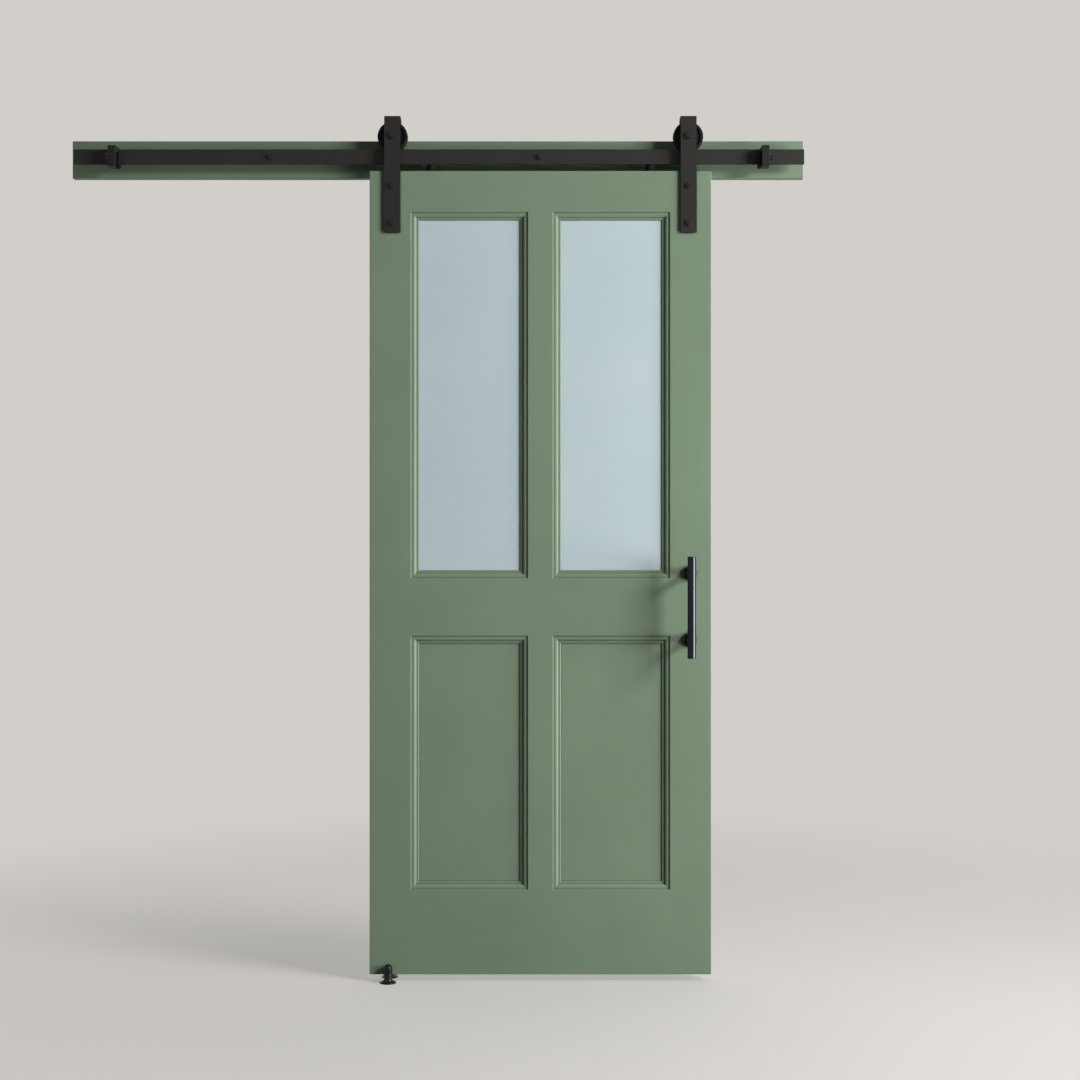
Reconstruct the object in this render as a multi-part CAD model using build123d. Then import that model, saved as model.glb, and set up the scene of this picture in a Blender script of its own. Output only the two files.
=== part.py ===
from build123d import *
import math
import os

# Sliding barn door on a flat track, in millimetres.
# The origin is the centre of the header board's back face.
# +X runs along the track to the right, +Y points away from the leaf, behind the board, +Z is up.

# Header board that carries the track
board_length = 1868.0
board_height = 95.0
board_thickness = 22.0
board_edge_radius = 1.5

# Track bar, held off the board by a spacer on each lag bolt
track_length = 1853.0
track_height = 38.0
track_thickness = 6.0
track_shift = 4.5
track_edge_radius = 0.6
spacer_length = 29.0
spacer_radius = 10.0
lag_positions = (-422.0, -114.0, 261.0, 636.0)
lag_radius = 4.0
lag_thread_radius = 3.6
lag_thread_length = 35.0
lag_tip_length = 8.0
lag_tip_radius = 0.9

# Hex heads and nuts
hex_flats = 13.0
hex_head_height = 5.5
hex_nut_height = 6.5
hex_chamfer_degrees = 30.0
bolt_clearance = 0.2

# Door leaf
leaf_width = 864.0
leaf_height = 2032.0
leaf_thickness = 35.0
leaf_centre_x = 262.0
leaf_top_drop = 38.4
leaf_to_board = 13.0
leaf_edge_radius = 1.5
stile_width = 103.0
mullion_width = 60.5
top_rail_height = 102.0
lock_rail_height = 142.0
bottom_rail_height = 212.0
glass_light_height = 930.0
tenon_length = 40.0
tenon_end_gap = 0.5

# Moulded edge round each light, from the face inwards
step_width = 3.0
step_depth = 3.0
flat_width = 5.5
ovolo_width = 7.0
ovolo_depth = 5.4
ovolo_bulge = 1.1
ledge_width = 3.5
lip_width = 3.0
lip_depth = 3.1

# Panels, glass and beads
panel_groove_depth = 12.0
panel_edge_gap = 1.0
glass_thickness = 5.0
glass_edge_gap = 1.5
rebate_width = 12.0
bead_height = 16.0
bead_round = 7.0

# Hanger straps
strap_width = 40.0
strap_thickness = 6.0
strap_bend_radius = 3.0
strap_spacing = 749.0
strap_above_axle = 50.9
strap_length = 295.5
strap_back_leg = 29.0
strap_end_round = 1.5
upper_bolt_drop = 38.6
leaf_bolt_spacing = 94.0
strap_bolt_radius = 4.0
washer_radius = 9.0
washer_thickness = 1.6
bolt_end_past_nut = 2.0

# Wheels
wheel_radius = 38.0
wheel_width = 20.0
groove_radius = 30.8
groove_floor_width = 7.2
groove_mouth_width = 13.0
wheel_running_gap = 0.3
web_recess = 3.0
web_inner_radius = 18.0
web_outer_radius = 31.0
web_slope = 2.2
wheel_back_lip = 2.0
wheel_lip_overlap = 2.0
wheel_rim_round = 1.2
bearing_radius = 13.0
bearing_width = 16.0
bearing_ring_width = 2.0
bearing_shield_dip = 0.6
bearing_seat_gap = 0.05
axle_radius = 5.0
axle_running_gap = 0.05
axle_hex_flats = 15.0
axle_head_height = 6.4
axle_nut_height = 5.0
axle_end_past_nut = 1.0
bush_radius = 8.0

# Anti-jump buttons on the leaf's top
button_spacing = 555.0
button_radius = 11.0
button_flange_radius = 13.5
button_flange_height = 4.0
button_edge_chamfer = 1.0
button_gap_below_track = 2.4
button_screw_radius = 2.5
button_screw_length = 45.0
button_screw_head_radius = 5.0
button_screw_head_depth = 3.0

# End stops and their bumpers
left_stop_from_track = 823.0
right_stop_from_track = 825.5
stop_width = 19.0
stop_front_depth = 30.0
stop_below_centre = 30.0
stop_bridge_height = 4.0
stop_jaw_thickness = 6.0
stop_jaw_gap = 1.0
stop_jaw_drop = 6.0
stop_edge_round = 1.0
grub_radius = 3.0
grub_rise = 6.0
grub_socket_flats = 3.0
grub_socket_depth = 3.0
bumper_thickness = 9.0
bumper_height = 40.0
bumper_depth = 22.0
bumper_front_gap = 2.0
bumper_below_block = 2.0
bumper_corner = 5.0
bumper_edge_round = 2.0
stud_radius = 5.0
stud_in_bumper = 5.0
stud_drop = 3.0
stud_past_nut = 4.0
stud_end_chamfer = 0.8
stop_nut_flats = 17.0
stop_nut_height = 8.0

# Pull handle
handle_length = 254.0
handle_bar_radius = 10.6
handle_end_chamfer = 1.2
handle_reach = 66.0
handle_from_edge = 55.0
handle_middle_drop = 1101.6
handle_post_spacing = 168.0
neck_radius = 9.0
neck_bar_gap = 0.05
rosette_radius = 17.5
rosette_thickness = 8.0
rosette_edge_round = 2.0
rosette_fit = 0.1
handle_bolt_radius = 4.0
handle_bolt_depth = 25.0
handle_bolt_head_radius = 8.0
handle_bolt_head_height = 4.4
handle_socket_flats = 5.0
handle_socket_depth = 2.6

# Floor guide posts
floor_gap = 18.0
guide_from_leaf_edge = 47.6
guide_post_radius = 10.5
guide_post_height = 46.0
guide_dome_height = 7.5
guide_shoulder_round = 2.0
guide_base_radius = 21.0
guide_base_thickness = 3.0
guide_flare_height = 10.0
guide_flare_hollow = 0.22
guide_running_gap = 0.8
guide_thread_radius = 3.4
guide_thread_depth = 22.0

# How far a cutter runs past what it cuts, and how near two places count as one
overshoot = 1.0
same_place = 0.01

# Places that follow from the sizes above
board_front = -board_thickness
track_back = board_front - spacer_length
track_front = track_back - track_thickness
track_middle = (track_back + track_front) / 2
track_top = track_height / 2
leaf_back = board_front - leaf_to_board
leaf_front = leaf_back - leaf_thickness
leaf_top = -leaf_top_drop
leaf_bottom = leaf_top - leaf_height
leaf_left = leaf_centre_x - leaf_width / 2
leaf_right = leaf_centre_x + leaf_width / 2
floor_level = leaf_bottom - floor_gap
axle_height = track_top + wheel_running_gap + groove_radius
strap_top = axle_height + strap_above_axle
strap_bottom = strap_top - strap_length
strap_front = leaf_front - strap_thickness
strap_inside = 2 * (track_middle - leaf_front)
strap_back = leaf_front + strap_inside + strap_thickness
strap_places = {
    "left": leaf_centre_x - strap_spacing / 2,
    "right": leaf_centre_x + strap_spacing / 2,
}
upper_bolt_height = leaf_top - upper_bolt_drop
bolt_heights = (upper_bolt_height, upper_bolt_height - leaf_bolt_spacing)

# Outline of the moulded edge: distance from the light's outer edge, and depth below the face
moulding_width = step_width + flat_width + ovolo_width + ledge_width + lip_width
panel_recess = step_depth + ovolo_depth + lip_depth

# Lights: name, left, right, bottom, top of the outer edge of the moulding
light_width = (leaf_width - 2 * stile_width - mullion_width) / 2
left_light = (leaf_left + stile_width, leaf_left + stile_width + light_width)
right_light = (leaf_right - stile_width - light_width, leaf_right - stile_width)
glass_top = leaf_top - top_rail_height
glass_bottom = glass_top - glass_light_height
panel_top = glass_bottom - lock_rail_height
panel_bottom = leaf_bottom + bottom_rail_height
lights = {
    "upper_left": (*left_light, glass_bottom, glass_top),
    "upper_right": (*right_light, glass_bottom, glass_top),
    "lower_left": (*left_light, panel_bottom, panel_top),
    "lower_right": (*right_light, panel_bottom, panel_top),
}

os.makedirs("parts", exist_ok=True)


def save(name, *solids):
    """Write one node: a single solid, or a group of separate like solids."""
    if len(solids) == 1:
        shape = solids[0]
    else:
        shape = Compound(children=list(solids))
    export_step(shape, "parts/" + name + ".step")


def block(x0, x1, y0, y1, z0, z1):
    """A box between six planes."""
    centre = Pos((x0 + x1) / 2, (y0 + y1) / 2, (z0 + z1) / 2)
    return centre * Box(abs(x1 - x0), abs(y1 - y0), abs(z1 - z0))


def rod_x(x0, x1, y, z, radius):
    """A round rod along X."""
    return Pos((x0 + x1) / 2, y, z) * Rot(0, 90, 0) * Cylinder(radius, abs(x1 - x0))


def rod_y(x, z, y0, y1, radius):
    """A round rod along Y."""
    return Pos(x, (y0 + y1) / 2, z) * Rot(90, 0, 0) * Cylinder(radius, abs(y1 - y0))


def rod_z(x, y, z0, z1, radius):
    """A round rod along Z."""
    return Pos(x, y, (z0 + z1) / 2) * Cylinder(radius, abs(z1 - z0))


def prism_x(points, x0, x1):
    """A straight-sided outline of (y, z) points drawn out along X."""
    outline = Plane.YZ.offset(x0) * Polygon(*points, align=None)
    return extrude(outline, x1 - x0, dir=(1, 0, 0))


def prism_y(points, y0, y1):
    """A straight-sided outline of (x, z) points drawn out along Y."""
    outline = Plane.XZ.offset(-y0) * Polygon(*points, align=None)
    return extrude(outline, y1 - y0, dir=(0, 1, 0))


def turned_y(x, z, outline):
    """Turn an outline of (radius, y) points about an axis along Y through (x, z)."""
    face = make_face(Polyline([(r, y) for r, y in outline], close=True))
    return Pos(x, 0, z) * revolve(face, Axis.Y)


def edges_at(solid, axis, *tests):
    """Straight edges along an axis whose middle point passes every test."""
    found = solid.edges().filter_by(axis)
    for test in tests:
        found = found.filter_by(lambda edge, t=test: t(edge.center()))
    return found


def near(value, target):
    """True where two positions agree."""
    return abs(value - target) < same_place


def hexagon_y(x, z, y0, y1, flats):
    """A plain hexagonal bar along Y with a point at the top."""
    corner = flats / 2 / math.cos(math.pi / 6)
    points = [
        (x + corner * math.sin(k * math.pi / 3), z + corner * math.cos(k * math.pi / 3))
        for k in range(6)
    ]
    return prism_y(points, y0, y1)


def hex_prism_y(x, z, y0, y1, flats):
    """A hexagonal head or nut along Y, the corners of its outer end at y1 chamfered."""
    towards = 1 if y1 > y0 else -1
    drop = flats / 2 * math.tan(math.radians(hex_chamfer_degrees))
    rim = [(0, y0), (flats, y0), (flats, y1 - towards * drop), (flats / 2, y1), (0, y1)]
    return hexagon_y(x, z, y0, y1, flats) & turned_y(x, z, rim)


def hex_prism_x(x0, x1, y, z, flats):
    """The same hexagon along X, its outer end at x1."""
    standing = hex_prism_y(0, 0, 0, abs(x1 - x0), flats)
    turn = -90 if x1 > x0 else 90
    return Pos(x0, y, z) * Rot(0, 0, turn) * standing


def header_board():
    """The painted board, with its front edges eased and a hole for each lag bolt."""
    half = board_length / 2
    body = block(-half, half, board_front, 0, -board_height / 2, board_height / 2)
    body = fillet(body.faces().sort_by(Axis.Y)[0].edges(), board_edge_radius)
    for x in lag_positions:
        body -= rod_y(x, 0, board_front - overshoot, overshoot, lag_radius + bolt_clearance)
    return body


def track_bar():
    """Flat steel bar with a bolt hole at each spacer and slightly broken edges."""
    half = track_length / 2
    body = block(
        track_shift - half, track_shift + half, track_front, track_back, -track_top, track_top
    )
    body = fillet(body.edges().filter_by(Axis.X), track_edge_radius)
    hole = lag_radius + bolt_clearance
    for x in lag_positions:
        body -= rod_y(x, 0, track_front - overshoot, track_back + overshoot, hole)
    return body


def track_spacer(x):
    """Steel tube between the board and the track."""
    tube = rod_y(x, 0, track_back, board_front, spacer_radius)
    bore = lag_radius + bolt_clearance
    return tube - rod_y(x, 0, track_back - overshoot, board_front + overshoot, bore)


def lag_bolt(x):
    """Hex head on the track's face, shank through track, spacer and board, thread behind it."""
    head = hex_prism_y(x, 0, track_front, track_front - hex_head_height, hex_flats)
    inside_head = track_front - hex_head_height / 2
    end = lag_thread_length + lag_tip_length
    outline = [
        (0, inside_head),
        (lag_radius, inside_head),
        (lag_radius, 0),
        (lag_thread_radius, 0),
        (lag_thread_radius, lag_thread_length),
        (lag_tip_radius, end),
        (0, end),
    ]
    return head + turned_y(x, 0, outline)


def stop_centre(side):
    """X of an end stop's middle."""
    reach = left_stop_from_track if side < 0 else right_stop_from_track
    return track_shift + side * reach


def end_stop(side):
    """Steel block in front of the track, a bridge over it and a short jaw behind it."""
    centre = stop_centre(side)
    x0, x1 = centre - stop_width / 2, centre + stop_width / 2
    top = track_top + stop_bridge_height
    front = track_front - stop_front_depth
    jaw_front = track_back + stop_jaw_gap
    jaw_back = jaw_front + stop_jaw_thickness
    outline = [
        (front, -stop_below_centre),
        (track_front, -stop_below_centre),
        (track_front, track_top),
        (jaw_front, track_top),
        (jaw_front, -stop_jaw_drop),
        (jaw_back, -stop_jaw_drop),
        (jaw_back, top),
        (front, top),
    ]
    body = prism_x(outline, x0, x1)
    front_edges = edges_at(body, Axis.Z, lambda p: near(p.Y, front))
    body = fillet(front_edges, stop_edge_round)
    stud_y = bumper_middle()
    hole = stud_radius + bolt_clearance
    body -= rod_x(x0 - overshoot, x1 + overshoot, stud_y, -stud_drop, hole)
    body -= rod_y(centre, grub_rise, jaw_front - overshoot, jaw_back + overshoot, grub_radius)
    return body


def bumper_middle():
    """Depth of the bumper's middle, just in front of the track."""
    return track_front - bumper_front_gap - bumper_depth / 2


def stop_inner_face(side):
    """X of the stop's face that looks at the door."""
    return stop_centre(side) - side * stop_width / 2


def stop_outer_face(side):
    """X of the stop's outer face, where the nut sits."""
    return stop_centre(side) + side * stop_width / 2


def bumper(side):
    """Rubber pad on the stop's inner face, with rounded corners and a soft front rim."""
    seat = stop_inner_face(side)
    tip = seat - side * bumper_thickness
    y = bumper_middle()
    low = -stop_below_centre - bumper_below_block
    body = block(
        min(seat, tip),
        max(seat, tip),
        y - bumper_depth / 2,
        y + bumper_depth / 2,
        low,
        low + bumper_height,
    )
    body = fillet(body.edges().filter_by(Axis.X), bumper_corner)
    rim = body.faces().sort_by(Axis.X)[0 if side > 0 else -1]
    body = fillet(rim.edges(), bumper_edge_round)
    return body - rod_x(seat, seat - side * stud_in_bumper, y, -stud_drop, stud_radius)


def stop_stud(side):
    """Threaded stud moulded into the bumper, through the block to the nut."""
    inner_end = stop_inner_face(side) - side * stud_in_bumper
    outer_end = stop_outer_face(side) + side * (stop_nut_height + stud_past_nut)
    body = rod_x(inner_end, outer_end, bumper_middle(), -stud_drop, stud_radius)
    rim = body.edges().filter_by(lambda e: near(e.center().X, outer_end))
    return chamfer(rim, stud_end_chamfer)


def stop_nut(side):
    """Hex nut on the stop's outer face."""
    seat = stop_outer_face(side)
    end = seat + side * stop_nut_height
    past = side * overshoot
    body = hex_prism_x(seat, end, bumper_middle(), -stud_drop, stop_nut_flats)
    return body - rod_x(seat - past, end + past, bumper_middle(), -stud_drop, stud_radius)


def stop_grub_screw(side):
    """Grub screw through the back jaw, its point on the back of the track."""
    centre = stop_centre(side)
    outer = track_back + stop_jaw_gap + stop_jaw_thickness
    body = rod_y(centre, grub_rise, track_back, outer, grub_radius)
    floor = outer - grub_socket_depth
    return body - hexagon_y(centre, grub_rise, floor, outer + overshoot, grub_socket_flats)


def guide_post(y):
    """Turned post: domed top, straight shank, concave flare into a thin round base."""
    top = floor_level + guide_post_height
    shoulder = top - guide_dome_height
    base_top = floor_level + guide_base_thickness
    flare_top = base_top + guide_flare_height
    half_edge = guide_base_thickness / 2
    base_inner = guide_base_radius - half_edge
    flare_middle = (
        guide_post_radius + guide_flare_hollow * (base_inner - guide_post_radius),
        base_top + guide_flare_hollow * guide_flare_height,
    )
    dome_radius = (guide_post_radius**2 + guide_dome_height**2) / (2 * guide_dome_height)
    half_turn = math.asin(guide_post_radius / dome_radius) / 2
    dome_middle = (
        dome_radius * math.sin(half_turn),
        top - dome_radius * (1 - math.cos(half_turn)),
    )
    outline = [
        Polyline(
            (guide_post_radius, flare_top),
            (guide_post_radius, shoulder),
        ),
        ThreePointArc((guide_post_radius, shoulder), dome_middle, (0, top)),
        Polyline(
            (0, top),
            (0, floor_level),
            (guide_base_radius, floor_level),
            (guide_base_radius, floor_level + half_edge),
            (base_inner, base_top),
        ),
        ThreePointArc((base_inner, base_top), flare_middle, (guide_post_radius, flare_top)),
    ]
    body = revolve(Plane.XZ * make_face(outline), Axis.Z)
    rim = body.edges().filter_by(lambda e: near(e.center().Z, shoulder))
    body = fillet(rim, guide_shoulder_round)
    bore_end = floor_level + guide_thread_depth
    body -= rod_z(0, 0, floor_level - overshoot, bore_end, guide_thread_radius)
    return Pos(leaf_left + guide_from_leaf_edge, y, 0) * body


def moulding_edge(start, way):
    """One edge of a light in section: (across, depth) from the face down to the panel's face."""
    step_end = start + way * step_width
    flat_end = step_end + way * flat_width
    ovolo_end = flat_end + way * ovolo_width
    ledge_end = ovolo_end + way * ledge_width
    lip_end = ledge_end + way * lip_width
    ovolo_foot = step_depth + ovolo_depth
    slope = math.hypot(ovolo_width, ovolo_depth)
    ovolo_middle = (
        (flat_end + ovolo_end) / 2 + way * ovolo_bulge * ovolo_depth / slope,
        (step_depth + ovolo_foot) / 2 - ovolo_bulge * ovolo_width / slope,
    )
    diagonal = math.cos(math.pi / 4)
    step_middle = (start + way * step_width * diagonal, step_depth * (1 - diagonal))
    lip_middle = (
        ledge_end + way * lip_width * diagonal,
        ovolo_foot + lip_depth * (1 - diagonal),
    )
    return [
        Line((start, -overshoot), (start, 0)),
        ThreePointArc((start, 0), step_middle, (step_end, step_depth)),
        Line((step_end, step_depth), (flat_end, step_depth)),
        ThreePointArc((flat_end, step_depth), ovolo_middle, (ovolo_end, ovolo_foot)),
        Line((ovolo_end, ovolo_foot), (ledge_end, ovolo_foot)),
        ThreePointArc((ledge_end, ovolo_foot), lip_middle, (lip_end, panel_recess)),
    ]


def moulding_section(width):
    """Section across a whole light: a moulded edge on both sides, the panel's face between."""
    half = width / 2
    floor = half - moulding_width
    return make_face(
        [
            *moulding_edge(-half, 1),
            Line((-floor, panel_recess), (floor, panel_recess)),
            *moulding_edge(half, -1),
            Line((half, -overshoot), (-half, -overshoot)),
        ]
    )


def moulding_cut(light, face, inwards):
    """What the moulded edge takes away round one light, seen from a face of the leaf.

    The profile runs down both sides and along top and bottom; where the two runs cross they meet
    in a mitre, because only what both take away is removed."""
    left, right, low, high = lights[light]
    width, height = right - left, high - low
    upright = extrude(moulding_section(width), height / 2, both=True)
    lying = Rot(0, 90, 0) * extrude(moulding_section(height), width / 2, both=True)
    cut = upright & lying
    if inwards < 0:
        cut = Rot(0, 0, 180) * cut
    return Pos((left + right) / 2, face, (low + high) / 2) * cut


def light_outline(light, inset):
    """The light's rectangle drawn in by an inset."""
    left, right, low, high = lights[light]
    return left + inset, right - inset, low + inset, high - inset


def light_box(light, inset, y0, y1):
    """A box over one light."""
    x0, x1, z0, z1 = light_outline(light, inset)
    return block(x0, x1, min(y0, y1), max(y0, y1), z0, z1)


def leaf_cuts():
    """Everything that is machined from the joined frame: mouldings, grooves and rebates."""
    recess_front = leaf_front + panel_recess
    recess_back = leaf_back - panel_recess
    groove_inset = moulding_width - panel_groove_depth
    rebate_inset = moulding_width - rebate_width
    cuts = []
    for light in lights:
        cuts.append(moulding_cut(light, leaf_front, 1))
        if light.startswith("lower"):
            cuts.append(moulding_cut(light, leaf_back, -1))
            cuts.append(light_box(light, groove_inset, recess_front, recess_back))
        else:
            cuts.append(light_box(light, rebate_inset, recess_front, leaf_back + overshoot))
    return cuts


def mitred_strip(light, side):
    """The member's strip that carries the moulding on one side of a light, mitred at its ends."""
    left, right, low, high = lights[light]
    inset = moulding_width
    corners = {
        "left": [(left, low), (left + inset, low + inset), (left + inset, high - inset), (left, high)],
        "right": [(right, low), (right - inset, low + inset), (right - inset, high - inset), (right, high)],
        "low": [(left, low), (left + inset, low + inset), (right - inset, low + inset), (right, low)],
        "high": [(left, high), (left + inset, high - inset), (right - inset, high - inset), (right, high)],
    }
    return prism_y(corners[side], leaf_front, leaf_back)


def member(x0, x1, z0, z1, strips):
    """One frame member: its flat width and a mitred strip along each light that it borders."""
    body = block(x0, x1, leaf_front, leaf_back, z0, z1)
    for light, side in strips:
        body += mitred_strip(light, side)
    return body


def tenon(x0, x1, z0, z1):
    """A tenon in the middle of the leaf's thickness, as thick as the panels."""
    return block(x0, x1, leaf_front + panel_recess, leaf_back - panel_recess, z0, z1)


def rail_tenons(z0, z1):
    """The two tenons of a rail, set in from its edges, into the stiles."""
    margin = panel_groove_depth
    reach = tenon_length
    return [
        tenon(leaf_left + stile_width - reach, leaf_left + stile_width, z0 + margin, z1 - margin),
        tenon(leaf_right - stile_width, leaf_right - stile_width + reach, z0 + margin, z1 - margin),
    ]


def rail_mortises(z0, z1):
    """The pockets in the stiles that take a rail's tenons, a little deeper than they are long."""
    margin = panel_groove_depth
    reach = tenon_length + tenon_end_gap
    return [
        tenon(leaf_left + stile_width - reach, leaf_left + stile_width, z0 + margin, z1 - margin),
        tenon(leaf_right - stile_width, leaf_right - stile_width + reach, z0 + margin, z1 - margin),
    ]


def strap_bolt_holes():
    """Through holes in the stiles for the hanger bolts."""
    radius = strap_bolt_radius + bolt_clearance
    return [
        rod_y(x, z, leaf_front - overshoot, leaf_back + overshoot, radius)
        for x in strap_places.values()
        for z in bolt_heights
    ]


def handle_place():
    """X of the handle, the heights of its two posts and the depth of its bar."""
    x = leaf_right - handle_from_edge
    middle = leaf_top - handle_middle_drop
    half = handle_post_spacing / 2
    return x, (middle + half, middle - half), leaf_front - handle_reach


def handle_bolt_holes():
    """Through holes in the right stile for the handle's bolts."""
    x, heights, _ = handle_place()
    radius = handle_bolt_radius + bolt_clearance
    return [rod_y(x, z, leaf_front - overshoot, leaf_back + overshoot, radius) for z in heights]


def button_places():
    """X of the two anti-jump buttons."""
    return {
        "left": leaf_centre_x - button_spacing / 2,
        "right": leaf_centre_x + button_spacing / 2,
    }


def button_top():
    """Height of the top of the anti-jump buttons."""
    return -track_top - button_gap_below_track


def on_leaf_face(p):
    """True for a place on the leaf's front or back face."""
    return near(p.Y, leaf_front) or near(p.Y, leaf_back)


def on_leaf_side(p):
    """True for a place on the leaf's left or right edge."""
    return near(p.X, leaf_left) or near(p.X, leaf_right)


def on_leaf_end(p):
    """True for a place on the leaf's top or bottom edge."""
    return near(p.Z, leaf_top) or near(p.Z, leaf_bottom)


def ease_leaf_edges(body):
    """Round the long front and back edges that lie on the leaf's own outline."""
    edges = edges_at(body, Axis.Z, on_leaf_face, on_leaf_side)
    edges += edges_at(body, Axis.X, on_leaf_face, on_leaf_end)
    if not edges:
        return body
    return fillet(edges, leaf_edge_radius)


def leaf_members():
    """The seven frame members of the leaf, moulded, jointed and drilled."""
    inner_left = leaf_left + stile_width
    inner_right = leaf_right - stile_width
    rails = {
        "top_rail": (glass_top, leaf_top),
        "lock_rail": (panel_top, glass_bottom),
        "bottom_rail": (leaf_bottom, panel_bottom),
    }
    plan = {
        "left_stile": (leaf_left, inner_left, leaf_bottom, leaf_top),
        "right_stile": (inner_right, leaf_right, leaf_bottom, leaf_top),
        "upper_mullion": (left_light[1], right_light[0], glass_bottom, glass_top),
        "lower_mullion": (left_light[1], right_light[0], panel_bottom, panel_top),
    }
    for name, (z0, z1) in rails.items():
        plan[name] = (inner_left, inner_right, z0, z1)
    strips = {
        "left_stile": [("upper_left", "left"), ("lower_left", "left")],
        "right_stile": [("upper_right", "right"), ("lower_right", "right")],
        "upper_mullion": [("upper_left", "right"), ("upper_right", "left")],
        "lower_mullion": [("lower_left", "right"), ("lower_right", "left")],
        "top_rail": [("upper_left", "high"), ("upper_right", "high")],
        "lock_rail": [
            ("upper_left", "low"),
            ("upper_right", "low"),
            ("lower_left", "high"),
            ("lower_right", "high"),
        ],
        "bottom_rail": [("lower_left", "low"), ("lower_right", "low")],
    }
    cuts = leaf_cuts()
    mortises = [pocket for z0, z1 in rails.values() for pocket in rail_mortises(z0, z1)]
    members = {}
    for name, (x0, x1, z0, z1) in plan.items():
        body = member(x0, x1, z0, z1, strips[name])
        taken = [cut for cut in cuts if touches(body, cut)]
        if "stile" in name:
            taken += [*mortises, *strap_bolt_holes()]
        if name == "right_stile":
            taken += handle_bolt_holes()
        if name == "top_rail":
            taken += [button_screw_shape(x) for x in button_places().values()]
        for cut in taken:
            body -= cut
        body = ease_leaf_edges(body)
        if name in rails:
            for end in rail_tenons(z0, z1):
                body += end
        members[name] = body
    return members


def touches(a, b):
    """True where two boxes round the shapes meet."""
    one, two = a.bounding_box(), b.bounding_box()
    return all(
        low <= high
        for low, high in (
            (one.min.X, two.max.X),
            (two.min.X, one.max.X),
            (one.min.Z, two.max.Z),
            (two.min.Z, one.max.Z),
        )
    )


def glass_pane(light):
    """Frosted pane in the rebate, its front against the moulding."""
    inset = moulding_width - rebate_width + glass_edge_gap
    front = leaf_front + panel_recess
    return light_box(light, inset, front, front + glass_thickness)


def flat_panel(light):
    """Flat panel, its edges in the grooves of the frame."""
    inset = moulding_width - panel_groove_depth + panel_edge_gap
    return light_box(light, inset, leaf_front + panel_recess, leaf_back - panel_recess)


def glazing_beads(light):
    """Four mitred beads behind a pane, each with a rounded inner corner."""
    x0, x1, z0, z1 = light_outline(light, moulding_width - rebate_width)
    width = rebate_width
    seat = leaf_front + panel_recess + glass_thickness
    back = seat + bead_height
    ring = block(x0, x1, seat, back, z0, z1)
    before, behind = seat - overshoot, back + overshoot
    ring -= block(x0 + width, x1 - width, before, behind, z0 + width, z1 - width)
    rim = ring.edges().filter_by(
        lambda e: near(e.center().Y, back)
        and x0 + same_place < e.center().X < x1 - same_place
        and z0 + same_place < e.center().Z < z1 - same_place
    )
    ring = fillet(rim, bead_round)
    wedges = {
        "left": [(x0, z0), (x0 + width, z0 + width), (x0 + width, z1 - width), (x0, z1)],
        "right": [(x1, z0), (x1 - width, z0 + width), (x1 - width, z1 - width), (x1, z1)],
        "bottom": [(x0, z0), (x0 + width, z0 + width), (x1 - width, z0 + width), (x1, z0)],
        "top": [(x0, z1), (x0 + width, z1 - width), (x1 - width, z1 - width), (x1, z1)],
    }
    return {side: ring & prism_y(points, before, behind) for side, points in wedges.items()}


def hanger_strap(x):
    """Flat bar: long leg on the leaf's face, folded square over the wheel, short leg behind it."""
    outer = strap_bend_radius + strap_thickness
    leg_end = axle_height - strap_back_leg
    inner_front = leaf_front
    inner_back = strap_back - strap_thickness
    inner_top = strap_top - strap_thickness
    solid_bar = block(0, strap_width, strap_front, strap_back, leg_end, strap_top)
    solid_bar = fillet(
        edges_at(solid_bar, Axis.X, lambda p: near(p.Z, strap_top)), outer
    )
    beyond = strap_width + overshoot
    hollow = block(-overshoot, beyond, inner_front, inner_back, leg_end - outer, inner_top)
    hollow = fillet(
        edges_at(hollow, Axis.X, lambda p: near(p.Z, inner_top)), strap_bend_radius
    )
    body = solid_bar - hollow
    body += block(0, strap_width, strap_front, leaf_front, strap_bottom, leg_end)
    body = fillet(
        edges_at(body, Axis.Y, lambda p: near(p.Z, strap_bottom) or near(p.Z, leg_end)),
        strap_end_round,
    )
    body = Pos(x - strap_width / 2, 0, 0) * body
    before = strap_front - overshoot
    for z in bolt_heights:
        body -= rod_y(x, z, before, leaf_front + overshoot, strap_bolt_radius + bolt_clearance)
    axle_hole = axle_radius + bolt_clearance
    return body - rod_y(x, axle_height, before, strap_back + overshoot, axle_hole)


def strap_bolt(x, z):
    """Hex bolt through strap and stile."""
    end = leaf_back + washer_thickness + hex_nut_height + bolt_end_past_nut
    head = hex_prism_y(x, z, strap_front, strap_front - hex_head_height, hex_flats)
    return head + rod_y(x, z, strap_front - hex_head_height / 2, end, strap_bolt_radius)


def strap_washer(x, z):
    """Flat washer on the leaf's back."""
    back = leaf_back + washer_thickness
    disc = rod_y(x, z, leaf_back, back, washer_radius)
    hole = strap_bolt_radius + bolt_clearance
    return disc - rod_y(x, z, leaf_back - overshoot, back + overshoot, hole)


def strap_nut(x, z):
    """Hex nut on the washer."""
    seat = leaf_back + washer_thickness
    end = seat + hex_nut_height
    body = hex_prism_y(x, z, seat, end, hex_flats)
    return body - rod_y(x, z, seat - overshoot, end + overshoot, strap_bolt_radius)


def axle_bolt(x):
    """Bolt that carries the wheel: head on the strap's face, end behind the back leg."""
    end = strap_back + axle_nut_height + axle_end_past_nut
    head = hex_prism_y(x, axle_height, strap_front, strap_front - axle_head_height, axle_hex_flats)
    return head + rod_y(x, axle_height, strap_front - axle_head_height / 2, end, axle_radius)


def axle_nut(x):
    """Thin nut on the axle behind the back leg."""
    end = strap_back + axle_nut_height
    body = hex_prism_y(x, axle_height, strap_back, end, axle_hex_flats)
    return body - rod_y(x, axle_height, strap_back - overshoot, end + overshoot, axle_radius)


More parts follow.
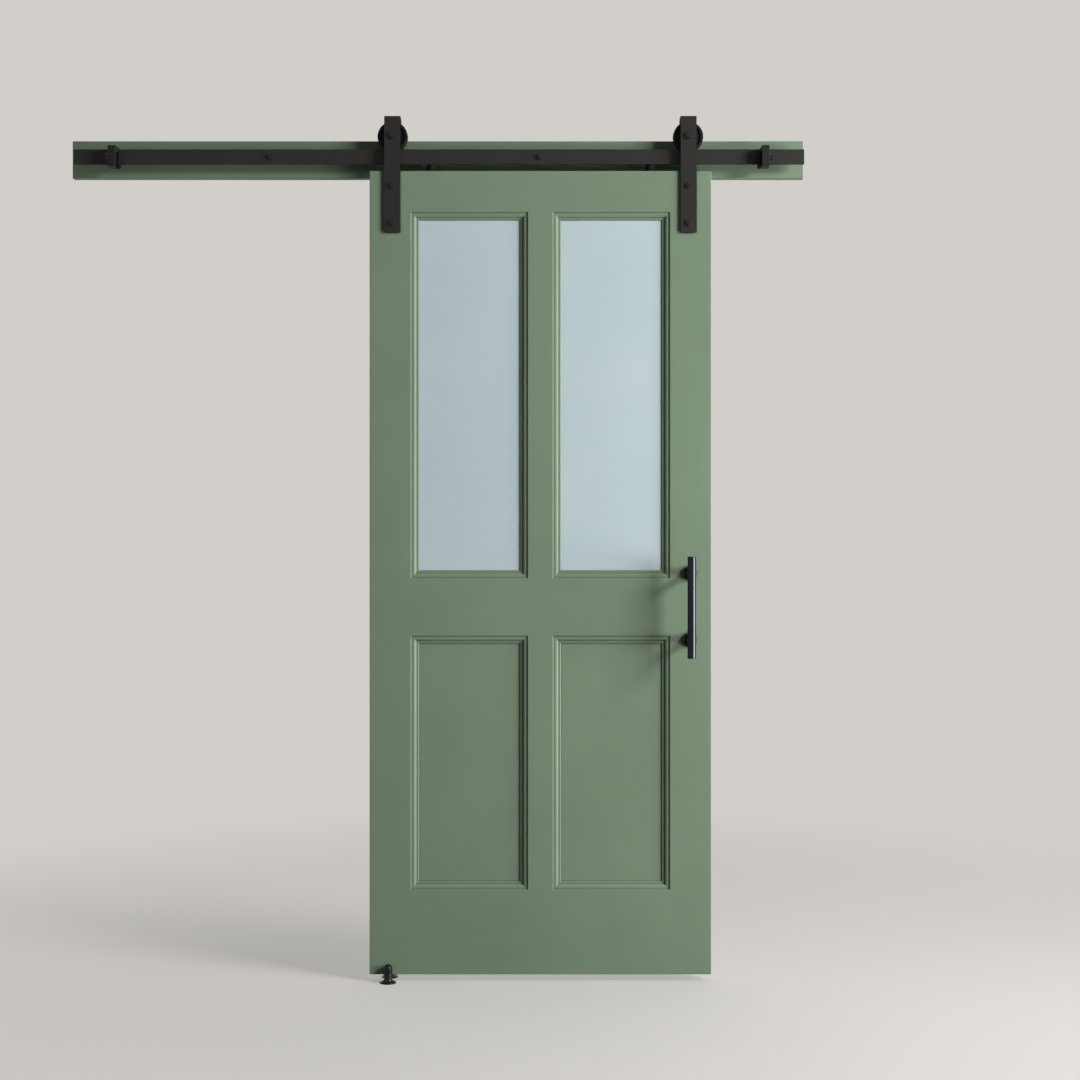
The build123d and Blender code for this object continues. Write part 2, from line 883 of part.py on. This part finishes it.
def axle_bushes(x):
    """Two tubes on the axle that hold the bearing in the middle of the strap."""
    bearing_front = track_middle - bearing_width / 2
    bearing_back = track_middle + bearing_width / 2
    inner_back = strap_back - strap_thickness
    spans = ((leaf_front, bearing_front), (bearing_back, inner_back))
    bore = axle_radius + bolt_clearance
    bushes = []
    for y0, y1 in spans:
        tube = rod_y(x, axle_height, y0, y1, bush_radius)
        bushes.append(tube - rod_y(x, axle_height, y0 - overshoot, y1 + overshoot, bore))
    return bushes


def wheel(x):
    """Turned wheel: flanged groove for the track, dished faces and a seat for the bearing."""
    front = track_middle - wheel_width / 2
    back = track_middle + wheel_width / 2
    bore = bearing_radius + bearing_seat_gap
    lip = bearing_radius - wheel_lip_overlap
    seat_end = track_middle + bearing_width / 2
    outline = [
        (bore, front),
        (web_inner_radius - web_slope, front),
        (web_inner_radius, front + web_recess),
        (web_outer_radius - web_slope, front + web_recess),
        (web_outer_radius, front),
        (wheel_radius - wheel_rim_round, front),
        (wheel_radius, front + wheel_rim_round),
        (wheel_radius, track_middle - groove_mouth_width / 2),
        (groove_radius, track_middle - groove_floor_width / 2),
        (groove_radius, track_middle + groove_floor_width / 2),
        (wheel_radius, track_middle + groove_mouth_width / 2),
        (wheel_radius, back - wheel_rim_round),
        (wheel_radius - wheel_rim_round, back),
        (web_outer_radius, back),
        (web_outer_radius - web_slope, back - web_recess),
        (web_inner_radius, back - web_recess),
        (web_inner_radius - web_slope, back),
        (lip, back),
        (lip, seat_end),
        (bore, seat_end),
    ]
    return turned_y(x, axle_height, outline)


def wheel_bearing(x):
    """Sealed bearing: both rings and the shields as one closed ring with a shallow groove."""
    front = track_middle - bearing_width / 2
    back = track_middle + bearing_width / 2
    bore = axle_radius + axle_running_gap
    ring = bearing_ring_width
    dip = bearing_shield_dip
    outline = [
        (bore, front),
        (bore + ring, front),
        (bore + ring, front + dip),
        (bearing_radius - ring, front + dip),
        (bearing_radius - ring, front),
        (bearing_radius, front),
        (bearing_radius, back),
        (bearing_radius - ring, back),
        (bearing_radius - ring, back - dip),
        (bore + ring, back - dip),
        (bore + ring, back),
        (bore, back),
    ]
    return turned_y(x, axle_height, outline)


def button_screw_shape(x):
    """Countersunk wood screw down through an anti-jump button into the top rail."""
    top = button_top()
    outline = [
        (0, top),
        (button_screw_head_radius, top),
        (button_screw_radius, top - button_screw_head_depth),
        (button_screw_radius, top - button_screw_length + button_screw_head_radius),
        (0, top - button_screw_length),
    ]
    face = Plane.XZ * make_face(Polyline(outline, close=True))
    return Pos(x, track_middle, 0) * revolve(face, Axis.Z)


def anti_jump_button(x):
    """Turned button on the leaf's top, a little flared at its foot."""
    top = button_top()
    flange_top = leaf_top + button_flange_height
    outline = [
        (0, leaf_top),
        (button_flange_radius, leaf_top),
        (button_flange_radius, leaf_top + button_flange_height / 2),
        (button_radius, flange_top),
        (button_radius, top - button_edge_chamfer),
        (button_radius - button_edge_chamfer, top),
        (0, top),
    ]
    face = Plane.XZ * make_face(Polyline(outline, close=True))
    body = Pos(x, track_middle, 0) * revolve(face, Axis.Z)
    return body - button_screw_shape(x)


def handle_bar():
    """Round bar with chamfered ends."""
    x, (high, low), y = handle_place()
    middle = (high + low) / 2
    body = rod_z(x, y, middle - handle_length / 2, middle + handle_length / 2, handle_bar_radius)
    return chamfer(body.edges().filter_by(GeomType.CIRCLE), handle_end_chamfer)


def handle_neck(z):
    """Short round post from the leaf to the bar, hollowed to fit against the bar."""
    x, _, y = handle_place()
    post = rod_y(x, z, leaf_front, y, neck_radius)
    post -= rod_z(x, y, z - 2 * neck_radius, z + 2 * neck_radius, handle_bar_radius + neck_bar_gap)
    bolt_end = leaf_front - handle_bolt_depth
    return post - rod_y(x, z, bolt_end, leaf_front + overshoot, handle_bolt_radius)


def handle_rosette(z):
    """Round collar at the foot of a neck, its front edge rounded."""
    x, _, _ = handle_place()
    front = leaf_front - rosette_thickness
    body = rod_y(x, z, front, leaf_front, rosette_radius)
    rim = body.edges().filter_by(lambda e: near(e.center().Y, front))
    body = fillet(rim, rosette_edge_round)
    return body - rod_y(x, z, front - overshoot, leaf_front + overshoot, neck_radius + rosette_fit)


def handle_bolt(z):
    """Bolt from the leaf's back into the neck, with a low round head and a hex socket."""
    x, _, _ = handle_place()
    head_end = leaf_back + handle_bolt_head_height
    head = rod_y(x, z, leaf_back, head_end, handle_bolt_head_radius)
    rim = head.edges().filter_by(lambda e: near(e.center().Y, head_end))
    head = fillet(rim, handle_bolt_head_height / 2)
    floor = head_end - handle_socket_depth
    head -= hexagon_y(x, z, floor, head_end + overshoot, handle_socket_flats)
    return head + rod_y(x, z, leaf_front - handle_bolt_depth, leaf_back + overshoot, handle_bolt_radius)


def write_frame():
    """What is fixed to the building."""
    sides = {"left": -1, "right": 1}
    save("header_board", header_board())
    save("track_bar", track_bar())
    save("track_spacers", *[track_spacer(x) for x in lag_positions])
    save("track_lag_bolts", *[lag_bolt(x) for x in lag_positions])
    for name, side in sides.items():
        save("end_stop_" + name, end_stop(side))
        save("stop_bumper_" + name, bumper(side))
    save("stop_studs", *[stop_stud(side) for side in sides.values()])
    save("stop_nuts", *[stop_nut(side) for side in sides.values()])
    save("stop_grub_screws", *[stop_grub_screw(side) for side in sides.values()])
    stand_off = guide_post_radius + guide_running_gap
    save("floor_guide_front", guide_post(leaf_front - stand_off))
    save("floor_guide_back", guide_post(leaf_back + stand_off))


def write_door():
    """The sliding leaf with all that is fixed to it."""
    for name, body in leaf_members().items():
        save(name, body)
    for side in ("left", "right"):
        save("glass_" + side, glass_pane("upper_" + side))
        save("panel_" + side, flat_panel("lower_" + side))
        for place, bead in glazing_beads("upper_" + side).items():
            save("bead_" + side + "_pane_" + place, bead)
        save("hanger_strap_" + side, hanger_strap(strap_places[side]))
        save("anti_jump_button_" + side, anti_jump_button(button_places()[side]))
    holes = [(x, z) for x in strap_places.values() for z in bolt_heights]
    save("strap_bolts", *[strap_bolt(x, z) for x, z in holes])
    save("strap_washers", *[strap_washer(x, z) for x, z in holes])
    save("strap_nuts", *[strap_nut(x, z) for x, z in holes])
    save("axle_bolts", *[axle_bolt(x) for x in strap_places.values()])
    save("axle_nuts", *[axle_nut(x) for x in strap_places.values()])
    save("axle_bushes", *[bush for x in strap_places.values() for bush in axle_bushes(x)])
    save("anti_jump_screws", *[button_screw_shape(x) for x in button_places().values()])
    _, heights, _ = handle_place()
    save("handle_bar", handle_bar())
    for name, z in zip(("upper", "lower"), heights):
        save("handle_neck_" + name, handle_neck(z))
        save("handle_rosette_" + name, handle_rosette(z))
    save("handle_bolts", *[handle_bolt(z) for z in heights])


def write_wheels():
    """The two wheels with their bearings."""
    for side, x in strap_places.items():
        save("wheel_" + side, wheel(x))
        save("wheel_bearing_" + side, wheel_bearing(x))


write_frame()
write_door()
write_wheels()
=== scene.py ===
import math
import bpy
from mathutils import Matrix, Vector


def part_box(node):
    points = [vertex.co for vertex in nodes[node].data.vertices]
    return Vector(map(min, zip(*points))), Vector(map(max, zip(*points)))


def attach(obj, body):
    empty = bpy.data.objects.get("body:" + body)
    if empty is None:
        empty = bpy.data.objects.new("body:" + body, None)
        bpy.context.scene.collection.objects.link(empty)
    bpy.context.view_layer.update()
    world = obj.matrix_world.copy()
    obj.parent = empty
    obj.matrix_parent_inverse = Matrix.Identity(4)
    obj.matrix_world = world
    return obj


# Sliding barn door in grey-green satin paint, with frosted panes and black flat-track hardware.
# Metres, X along the track, Y away behind the board, Z up, origin on the header board's back face.
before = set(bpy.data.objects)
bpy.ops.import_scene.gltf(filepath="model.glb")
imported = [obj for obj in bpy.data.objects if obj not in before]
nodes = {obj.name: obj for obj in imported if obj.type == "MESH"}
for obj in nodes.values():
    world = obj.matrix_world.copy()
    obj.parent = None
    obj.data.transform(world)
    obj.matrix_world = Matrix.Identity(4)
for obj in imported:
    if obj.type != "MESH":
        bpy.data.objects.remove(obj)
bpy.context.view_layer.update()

MM = 0.001

# Camera: level, in front of the leaf, at a little above half its height
camera_place = (0.261, -4.4, -0.9476)
focal_px = 1712.4
image_px = 1080
sensor_mm = 36.0
horizon_above_middle_px = 9.6

# Light: a large soft box high at the right, a small low one nearer the leaf, and a dome brighter behind
soft_boxes = {
    "high_box": {"place": (4.8, -2.8, 1.4), "size": (2.2, 1.3), "watts": 430.0},
    "low_box": {"place": (3.4, -1.6, -1.3), "size": (2.2, 1.0), "watts": 158.0},
}
dome_axis = (0.2, 0.95, 0.2)
dome_front = 0.06
dome_back = 1.3
surround_colour = "#D2CFCB"
floor_colour = "#C8C5C1"
bounce_colour = "#6A6864"

# Floor: pale, fading into the surround away from the object
floor_middle = (0.26, -0.05)
floor_half_width = 30.0
floor_fade_start = 0.8
floor_fade_end = 2.7
floor_lift = 0.5

# Paint shared by leaf and board: its grey-green, a lighter cloud, and the dark of painted shade in its
# corners
paint_colours = ("#6D7F6A", "#748671", "#27332A")

# Wood-screw threads of the lag bolts: where they start behind the board, and their sizes
lag_places = (-0.422, -0.114, 0.261, 0.636)
thread_start_mm = 2.0
thread_core_mm = 3.55
thread_length_mm = 32.0
thread_pitch_mm = 2.9
thread_height_mm = 0.9
thread_half_width = 0.42
steps_per_turn = 18


def linear(hex_colour):
    """An sRGB hex colour as linear red, green, blue and alpha."""
    channels = [int(hex_colour[k : k + 2], 16) / 255 for k in (1, 3, 5)]
    straight = [c / 12.92 if c <= 0.04045 else ((c + 0.055) / 1.055) ** 2.4 for c in channels]
    return (*straight, 1.0)


def add(tree, kind, inputs=None, **settings):
    """Add a shader node, give it its settings, and link or set its inputs."""
    node = tree.nodes.new("ShaderNode" + kind)
    for name, value in settings.items():
        setattr(node, name, value)
    for name, value in (inputs or {}).items():
        if isinstance(value, bpy.types.NodeSocket):
            tree.links.new(value, node.inputs[name])
        else:
            node.inputs[name].default_value = value
    return node


def new_finish(name, roughness, metallic=0.0, **constants):
    """A material with one Principled shader: returns the material, its tree, the shader and the place."""
    material = bpy.data.materials.new(name)
    material.use_nodes = True
    tree = material.node_tree
    shader = tree.nodes["Principled BSDF"]
    shader.inputs["Roughness"].default_value = roughness
    shader.inputs["Metallic"].default_value = metallic
    for socket, value in constants.items():
        shader.inputs[socket.replace("_", " ")].default_value = value
    place = add(tree, "TexCoord").outputs["Object"]
    return material, tree, shader, place


def noise(tree, place, size_mm, detail=2.0, stretch=(1, 1, 1)):
    """A noise whose grains are about size_mm across, longer along an axis by its stretch."""
    per_metre = 1 / (size_mm * MM)
    scale = [per_metre / s for s in stretch]
    mapped = add(tree, "Mapping", {"Vector": place, "Scale": scale})
    made = add(tree, "TexNoise", {"Vector": mapped.outputs["Vector"], "Scale": 1.0, "Detail": detail})
    return made.outputs["Fac"]


def spread(tree, value, low, high, to_low, to_high):
    """Stretch the middle of a pattern to a new range, held at its ends."""
    made = add(
        tree,
        "MapRange",
        {"Value": value, "From Min": low, "From Max": high, "To Min": to_low, "To Max": to_high},
        clamp=True,
    )
    return made.outputs["Result"]


def mix_colour(tree, factor, first, second):
    """Mix two colours, each a hex text or a socket."""
    made = add(tree, "Mix", data_type="RGBA")
    ends = {6: first, 7: second}
    tree.links.new(factor, made.inputs[0])
    for slot, value in ends.items():
        if isinstance(value, str):
            made.inputs[slot].default_value = linear(value)
        else:
            tree.links.new(value, made.inputs[slot])
    return made.outputs[2]


def relief(tree, shader, heights):
    """Chain bumps on the shader: each height pattern with its depth in millimetres."""
    normal = None
    for height, depth_mm in heights:
        inputs = {"Height": height, "Distance": depth_mm * MM, "Strength": 1.0}
        if normal is not None:
            inputs["Normal"] = normal
        normal = add(tree, "Bump", inputs).outputs["Normal"]
    tree.links.new(normal, shader.inputs["Normal"])


def satin_paint(name, shade, light, dark, along):
    """Sprayed satin enamel on sanded timber.

    It gives the eye an even grey-green with a soft sheen: faint long strokes along the member,
    a fine orange peel and cloudy lighter places; painted shade darkens its corners and creases."""
    material, tree, shader, place = new_finish(name, 0.5, Specular_IOR_Level=0.25)
    stretch = [1, 1, 1]
    stretch[along] = 60
    strokes = noise(tree, place, 5.0, 3.0, stretch)
    clouds = noise(tree, place, 240.0, 2.0)
    # Real orange peel is about 1 mm; drawn at 4 mm so that it shows at this distance
    peel = noise(tree, place, 4.0, 1.0)
    cloudy = mix_colour(tree, spread(tree, clouds, 0.35, 0.65, 0.0, 0.5), shade, light)
    streaked = mix_colour(tree, spread(tree, strokes, 0.35, 0.75, 0.0, 0.30), cloudy, light)
    # Painted shade: ambient occlusion darkens corners, creases and the face beside fittings towards the
    # dark colour
    corner = add(tree, "AmbientOcclusion", {"Distance": 5.0 * MM}, samples=6)
    painted_corner_shade = spread(tree, corner.outputs["AO"], 0.45, 0.96, 0.9, 0.0)
    corner_shaded = mix_colour(tree, painted_corner_shade, streaked, dark)
    tree.links.new(corner_shaded, shader.inputs["Base Color"])
    gloss = spread(tree, strokes, 0.3, 0.7, 0.42, 0.52)
    tree.links.new(gloss, shader.inputs["Roughness"])
    relief(tree, shader, [(strokes, 0.10), (peel, 0.05)])
    return material


def black_powder_coat(name, shade, light, along, sheen=0.3):
    """Fine-texture black powder coat on flat steel bar.

    It gives the eye a soft charcoal that is never glossy: a fine sandy grain, faint rolling marks
    of the bar along its length, and slightly greyer, rubbed places."""
    material, tree, shader, place = new_finish(name, 0.58, Specular_IOR_Level=sheen)
    stretch = [1, 1, 1]
    stretch[along] = 40
    rolling = noise(tree, place, 3.5, 2.0, stretch)
    patches = noise(tree, place, 60.0, 3.0)
    # Powder grain is about 0.3 mm; drawn at 1.6 mm so that it shows
    grain = noise(tree, place, 1.6, 2.0)
    mottled = mix_colour(tree, spread(tree, patches, 0.35, 0.7, 0.0, 0.6), shade, light)
    rolled = mix_colour(tree, spread(tree, rolling, 0.45, 0.8, 0.0, 0.5), mottled, light)
    tree.links.new(rolled, shader.inputs["Base Color"])
    tree.links.new(spread(tree, grain, 0.3, 0.7, 0.48, 0.60), shader.inputs["Roughness"])
    relief(tree, shader, [(rolling, 0.05), (grain, 0.08)])
    return material


def blackened_bolt_steel(name):
    """Black zinc-plated steel of bolts, nuts and washers.

    It gives the eye a darker, slightly shinier black than the bar, with small bright corners."""
    material, tree, shader, place = new_finish(name, 0.4, metallic=0.35, Specular_IOR_Level=0.3)
    grain = noise(tree, place, 1.2, 3.0)
    rub = noise(tree, place, 7.0, 2.0)
    shade = mix_colour(tree, spread(tree, rub, 0.45, 0.75, 0.0, 1.0), "#1D1D1E", "#323233")
    tree.links.new(shade, shader.inputs["Base Color"])
    tree.links.new(spread(tree, grain, 0.3, 0.7, 0.34, 0.5), shader.inputs["Roughness"])
    relief(tree, shader, [(grain, 0.03)])
    return material


def anodised_handle(name, along):
    """Charcoal anodised aluminium tube with a very fine brush along it.

    It gives the eye a dark bar with one soft lavender-grey streak of light down its length."""
    material, tree, shader, place = new_finish(name, 0.3, metallic=1.0)
    stretch = [1, 1, 1]
    stretch[along] = 80
    brush = noise(tree, place, 1.0, 3.0, stretch)
    shade = mix_colour(tree, spread(tree, brush, 0.3, 0.7, 0.0, 1.0), "#2A292F", "#35343B")
    tree.links.new(shade, shader.inputs["Base Color"])
    tree.links.new(spread(tree, brush, 0.3, 0.7, 0.16, 0.23), shader.inputs["Roughness"])
    relief(tree, shader, [(brush, 0.01)])
    return material


def polished_guide_steel(name):
    """Turned and polished dark-plated steel of the floor guide.

    It gives the eye a dark shine that the turning rings draw out into one narrow upright streak."""
    material, tree, shader, place = new_finish(
        name, 0.3, metallic=1.0, Anisotropic=0.9, Anisotropic_Rotation=0.25
    )
    round_axis = add(tree, "Tangent", direction_type="RADIAL", axis="Z")
    tree.links.new(round_axis.outputs["Tangent"], shader.inputs["Tangent"])
    rings = noise(tree, place, 0.8, 2.0, (40, 40, 1))
    smudge = noise(tree, place, 14.0, 3.0)
    shade = mix_colour(tree, spread(tree, smudge, 0.35, 0.7, 0.0, 1.0), "#28282B", "#38383C")
    tree.links.new(shade, shader.inputs["Base Color"])
    tree.links.new(spread(tree, smudge, 0.3, 0.7, 0.26, 0.36), shader.inputs["Roughness"])
    relief(tree, shader, [(rings, 0.02)])
    return material


def bearing_steel(name):
    """Ground bearing steel.

    It gives the eye a small bright ring inside the black wheel."""
    material, tree, shader, place = new_finish(name, 0.3, metallic=1.0)
    smear = noise(tree, place, 2.5, 3.0)
    shade = mix_colour(tree, spread(tree, smear, 0.35, 0.7, 0.0, 1.0), "#7D7C7A", "#A3A2A0")
    tree.links.new(shade, shader.inputs["Base Color"])
    tree.links.new(spread(tree, smear, 0.3, 0.7, 0.24, 0.4), shader.inputs["Roughness"])
    relief(tree, shader, [(smear, 0.02)])
    return material


def moulded_black(name):
    """Moulded black rubber or nylon of the stop pads and the buttons.

    It gives the eye a flat, lightless black with a bloom of grey dust on it."""
    material, tree, shader, place = new_finish(name, 0.78, Specular_IOR_Level=0.1)
    bloom = noise(tree, place, 12.0, 4.0)
    grit = noise(tree, place, 1.4, 2.0)
    shade = mix_colour(tree, spread(tree, bloom, 0.45, 0.75, 0.0, 1.0), "#0E0E0E", "#191919")
    tree.links.new(shade, shader.inputs["Base Color"])
    relief(tree, shader, [(grit, 0.08)])
    return material


def frosted_glass(name):
    """Acid-etched float glass, 5 mm.

    It gives the eye an even pale blue-grey sheet, with a faint cloudy etch and no clear view through."""
    material, tree, shader, place = new_finish(name, 0.5, Transmission_Weight=0.12, IOR=1.5)
    clouds = noise(tree, place, 320.0, 3.0)
    # Etch grain is under 0.1 mm; drawn at 1.5 mm so that it shows
    etch = noise(tree, place, 1.5, 1.0)
    shade = mix_colour(tree, spread(tree, clouds, 0.35, 0.65, 0.0, 1.0), "#B7C7CC", "#BBCACE")
    tree.links.new(shade, shader.inputs["Base Color"])
    tree.links.new(spread(tree, clouds, 0.3, 0.7, 0.46, 0.56), shader.inputs["Roughness"])
    relief(tree, shader, [(etch, 0.02)])
    return material


def give(material, *names):
    """Put a finish on CAD nodes."""
    for name in names:
        piece = nodes[name]
        for k in range(len(piece.material_slots)):
            piece.material_slots[k].material = material
        if not piece.material_slots:
            piece.data.materials.append(material)


def only(piece):
    """Make a piece the only selected and active object."""
    bpy.ops.object.select_all(action="DESELECT")
    piece.select_set(True)
    bpy.context.view_layer.objects.active = piece


def settle(piece):
    """Apply a piece's place, turn and size, so that its object sits at the origin."""
    only(piece)
    bpy.ops.object.transform_apply(location=True, rotation=True, scale=True)


def thread_ridge(name, start, turn, core, length, pitch, height):
    """A screw thread: a diamond outline on the core's skin, wound along the axis and capped."""
    bpy.ops.object.select_all(action="DESELECT")
    bpy.ops.mesh.primitive_circle_add(
        vertices=4,
        radius=1.0,
        fill_type="NOTHING",
        location=(core, 0, 0),
        rotation=(math.pi / 2, 0, 0),
    )
    piece = bpy.context.object
    piece.name = name
    piece.scale = (height, pitch * thread_half_width, 1.0)
    settle(piece)
    turns = length / pitch
    winding = piece.modifiers.new("winding", "SCREW")
    winding.axis = "Z"
    winding.angle = 2 * math.pi * turns
    winding.screw_offset = length
    winding.iterations = 1
    winding.steps = round(steps_per_turn * turns)
    winding.render_steps = winding.steps
    winding.use_merge_vertices = False
    bpy.ops.object.modifier_apply(modifier=winding.name)
    bpy.ops.object.mode_set(mode="EDIT")
    bpy.ops.mesh.select_all(action="DESELECT")
    bpy.ops.mesh.select_mode(type="EDGE")
    bpy.ops.mesh.select_non_manifold()
    bpy.ops.mesh.fill()
    bpy.ops.mesh.select_all(action="SELECT")
    bpy.ops.mesh.normals_make_consistent(inside=False)
    bpy.ops.object.mode_set(mode="OBJECT")
    piece.rotation_euler = turn
    piece.location = start
    settle(piece)
    return piece


def lag_threads(material):
    """Coarse wood-screw threads on the four lag bolts, behind the header board."""
    for k, x in enumerate(lag_places):
        ridge = thread_ridge(
            f"lag_bolt_thread_{k + 1}",
            (x, thread_start_mm * MM, 0.0),
            (-math.pi / 2, 0, 0),
            thread_core_mm * MM,
            thread_length_mm * MM,
            thread_pitch_mm * MM,
            thread_height_mm * MM,
        )
        ridge.data.materials.append(material)
        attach(ridge, "frame")


def looked_at(tree):
    """One where a surface is seen: straight, through glass or in a mirroring finish; nought elsewhere."""
    seen = add(tree, "LightPath").outputs
    through = {0: seen["Is Camera Ray"], 1: seen["Is Transmission Ray"]}
    straight = add(tree, "Math", through, operation="MAXIMUM").outputs[0]
    every = {0: straight, 1: seen["Is Glossy Ray"]}
    return add(tree, "Math", every, operation="MAXIMUM").outputs[0]


def pale_floor():
    """Pale floor under the object, fading into the pale surround where it is seen."""
    low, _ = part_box("floor_guide_front")
    bpy.ops.object.select_all(action="DESELECT")
    bpy.ops.mesh.primitive_plane_add(size=2 * floor_half_width, location=(0, 0, low.z))
    floor = bpy.context.object
    floor.name = "studio_floor"
    settle(floor)
    material = bpy.data.materials.new("matt_pale_floor")
    material.use_nodes = True
    tree = material.node_tree
    tree.nodes.clear()
    place = add(tree, "TexCoord").outputs["Object"]
    apart = add(tree, "VectorMath", {0: place, 1: (*floor_middle, low.z)}, operation="DISTANCE")
    fade = spread(tree, apart.outputs["Value"], floor_fade_start, floor_fade_end, floor_lift, 1.0)
    # Where it is seen the floor is pale, yet it throws little light back up at the object
    shade = mix_colour(tree, looked_at(tree), bounce_colour, floor_colour)
    near_floor = add(tree, "BsdfDiffuse", {"Color": shade})
    far_floor = add(tree, "Emission", {"Color": linear(surround_colour), "Strength": 1.0})
    share = add(tree, "Math", {0: looked_at(tree), 1: fade}, operation="MULTIPLY")
    blend = add(
        tree,
        "MixShader",
        {0: share.outputs[0], 1: near_floor.outputs[0], 2: far_floor.outputs[0]},
    )
    add(tree, "OutputMaterial", {"Surface": blend.outputs[0]})
    floor.data.materials.append(material)


def pale_surround():
    """World that is an even pale grey where it is seen, and lights the object as a soft dome."""
    world = bpy.data.worlds.new("pale_surround")
    bpy.context.scene.world = world
    world.use_nodes = True
    tree = world.node_tree
    tree.nodes.clear()
    towards = {0: add(tree, "TexCoord").outputs["Generated"], 1: dome_axis}
    leaning = add(tree, "VectorMath", towards, operation="DOT_PRODUCT").outputs["Value"]
    strength = spread(tree, leaning, 0.0, 1.0, dome_front, dome_back)
    lit = add(tree, "Background", {"Color": linear("#F5F4F2"), "Strength": strength})
    shown = add(tree, "Background", {"Color": linear(surround_colour), "Strength": 1.0})
    blend = add(tree, "MixShader", {0: looked_at(tree), 1: lit.outputs[0], 2: shown.outputs[0]})
    add(tree, "OutputWorld", {"Surface": blend.outputs[0]})


def soft_box(name, place, size, watts):
    """An upright soft box that faces along the track from the right, so that it grazes the leaf."""
    data = bpy.data.lights.new(name, "AREA")
    data.shape = "RECTANGLE"
    data.size, data.size_y = size
    data.energy = watts
    made = bpy.data.objects.new(name, data)
    bpy.context.scene.collection.objects.link(made)
    made.location = place
    made.rotation_euler = Vector((-1, 0, 0)).to_track_quat("-Z", "Y").to_euler()


def camera():
    """Level camera in front of the leaf, with the photograph's framing."""
    data = bpy.data.cameras.new("camera")
    data.sensor_width = sensor_mm
    data.lens = focal_px / image_px * sensor_mm
    data.shift_y = -horizon_above_middle_px / image_px
    made = bpy.data.objects.new("camera", data)
    bpy.context.scene.collection.objects.link(made)
    made.location = camera_place
    made.rotation_euler = (math.pi / 2, 0, 0)
    bpy.context.scene.camera = made


camera()
pale_floor()
pale_surround()
for name, values in soft_boxes.items():
    soft_box(name, **values)
bpy.context.scene.view_settings.view_transform = "Standard"

upright_paint = satin_paint("satin_enamel_upright", *paint_colours, 2)
level_paint = satin_paint("satin_enamel_level", *paint_colours, 0)
board_paint = satin_paint("satin_enamel_board", *paint_colours, 0)
track_coat = black_powder_coat("powder_coated_track", "#212120", "#282726", 0, sheen=0.22)
strap_coat = black_powder_coat("powder_coated_strap", "#191918", "#21201F", 2, sheen=0.26)
part_coat = black_powder_coat("powder_coated_fitting", "#151515", "#1C1C1C", 1, sheen=0.2)
wheel_coat = black_powder_coat("powder_coated_wheel", "#0D0D0D", "#161616", 1, sheen=0.12)
bolt_steel = blackened_bolt_steel("black_zinc_bolt_steel")
handle_tube = anodised_handle("anodised_handle_tube", 2)
guide_steel = polished_guide_steel("polished_guide_steel")
ring_steel = bearing_steel("ground_bearing_steel")
pad_rubber = moulded_black("moulded_stop_rubber")
button_nylon = moulded_black("moulded_button_nylon")
etched_pane = frosted_glass("acid_etched_float_glass")

give(board_paint, "header_board")
give(upright_paint, "left_stile", "right_stile", "upper_mullion", "lower_mullion")
give(upright_paint, "panel_left", "panel_right")
give(level_paint, "top_rail", "lock_rail", "bottom_rail")
for side in ("left", "right"):
    give(upright_paint, f"bead_{side}_pane_left", f"bead_{side}_pane_right")
    give(level_paint, f"bead_{side}_pane_bottom", f"bead_{side}_pane_top")
    give(etched_pane, "glass_" + side)
    give(strap_coat, "hanger_strap_" + side)
    give(part_coat, "end_stop_" + side)
    give(wheel_coat, "wheel_" + side)
    give(pad_rubber, "stop_bumper_" + side)
    give(button_nylon, "anti_jump_button_" + side)
    give(ring_steel, "wheel_bearing_" + side)
give(track_coat, "track_bar")
give(part_coat, "track_spacers")
give(bolt_steel, "track_lag_bolts", "stop_studs", "stop_nuts", "stop_grub_screws")
give(bolt_steel, "strap_bolts", "strap_washers", "strap_nuts", "axle_bolts", "axle_nuts", "axle_bushes")
give(bolt_steel, "anti_jump_screws", "handle_bolts")
give(handle_tube, "handle_bar", "handle_neck_upper", "handle_neck_lower")
give(handle_tube, "handle_rosette_upper", "handle_rosette_lower")
give(guide_steel, "floor_guide_front", "floor_guide_back")

lag_threads(bolt_steel)
